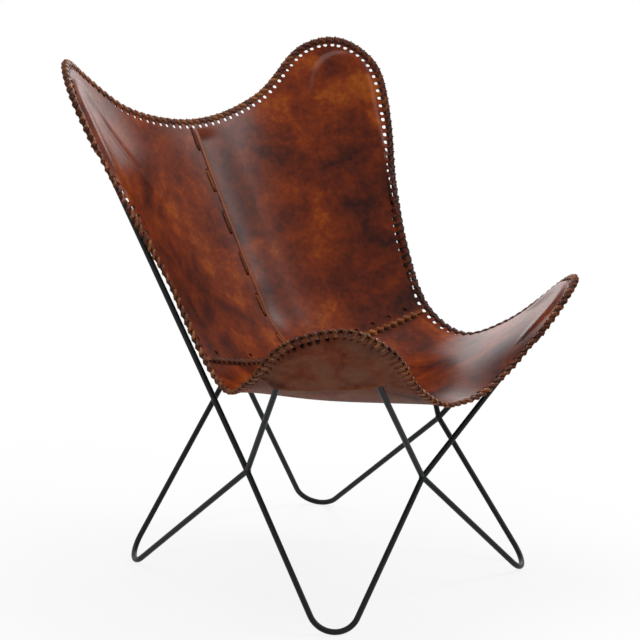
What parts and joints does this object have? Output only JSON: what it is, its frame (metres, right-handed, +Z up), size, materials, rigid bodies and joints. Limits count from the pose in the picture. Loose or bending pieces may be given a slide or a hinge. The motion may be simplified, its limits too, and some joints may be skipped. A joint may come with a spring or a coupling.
{
  "type": "butterfly sling chair",
  "caption": "Lounge chair with a laced leather sling hung by its pockets over the ears of a welded bent-rod frame.",
  "frame": {"origin": "on the floor, under the middle of the chair's overall box", "axes": "+Z up, the chair faces -Y, +X to the right as seen from in front; the plane X = 0 is the chair's middle"},
  "size_m": [0.7392, 0.7078, 0.9018],
  "materials": {
    "powder_coated_rod": "satin black powder coat",
    "sling_leather": "waxed, mottled brown",
    "lace_leather": "waxed, worn at the edges"
  },
  "bodies": {
    "root": {"leg_hairpin_front_left": "powder_coated_rod", "leg_hairpin_front_right": "powder_coated_rod", "leg_hairpin_rear_left": "powder_coated_rod", "leg_hairpin_rear_right": "powder_coated_rod", "ear_hairpin_front_left": "powder_coated_rod", "ear_hairpin_front_right": "powder_coated_rod", "ear_hairpin_rear_left": "powder_coated_rod", "ear_hairpin_rear_right": "powder_coated_rod", "weld_knuckle_front": "powder_coated_rod", "weld_knuckle_rear": "powder_coated_rod", "weld_knuckle_left": "powder_coated_rod", "weld_knuckle_right": "powder_coated_rod", "seat_panel": "sling_leather", "back_panel_left": "sling_leather", "back_panel_right": "sling_leather", "ear_pocket_front_left": "sling_leather", "ear_pocket_front_right": "sling_leather", "ear_pocket_rear_left": "sling_leather", "ear_pocket_rear_right": "sling_leather", "ear_lacing_front_left": "lace_leather", "ear_lacing_front_right": "lace_leather", "ear_lacing_rear_left": "lace_leather", "ear_lacing_rear_right": "lace_leather", "top_edge_lacing": "lace_leather", "front_edge_lacing": "lace_leather", "side_edge_lacing_left": "lace_leather", "side_edge_lacing_right": "lace_leather", "cross_seam_lacing_left": "lace_leather", "cross_seam_lacing_right": "lace_leather", "centre_seam_lacing": "lace_leather"}
  },
  "joints": []
}
